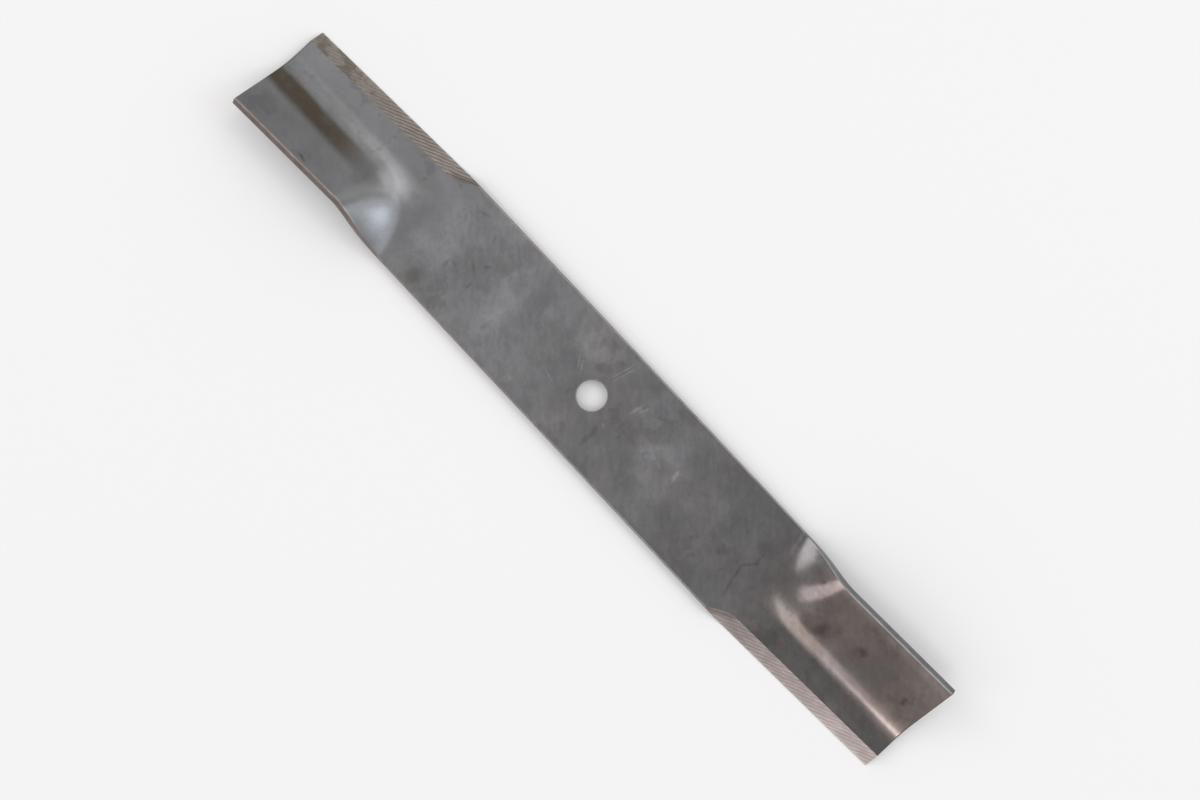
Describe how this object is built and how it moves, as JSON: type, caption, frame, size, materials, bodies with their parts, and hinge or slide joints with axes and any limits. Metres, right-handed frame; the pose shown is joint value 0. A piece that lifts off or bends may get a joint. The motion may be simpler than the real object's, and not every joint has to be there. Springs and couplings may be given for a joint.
{
  "type": "rotary mower blade",
  "caption": "Flat steel rotary mower blade with a centre bore, ground cutting edges on opposite sides of its ends and bent-up lift wings behind them.",
  "frame": {"origin": "on the bore's axis, at the underside of the flat bar", "axes": "+X along the blade to one tip, +Z along the bore away from the underside, towards the raised wings; the +X end has its cutting edge on the -Y side"},
  "size_m": [0.463, 0.0636, 0.0238],
  "materials": {
    "steel": "mottled grey heat-treat scale, with ground bevels along the cutting edges"
  },
  "bodies": {
    "root": {"blade": "steel"}
  },
  "joints": []
}
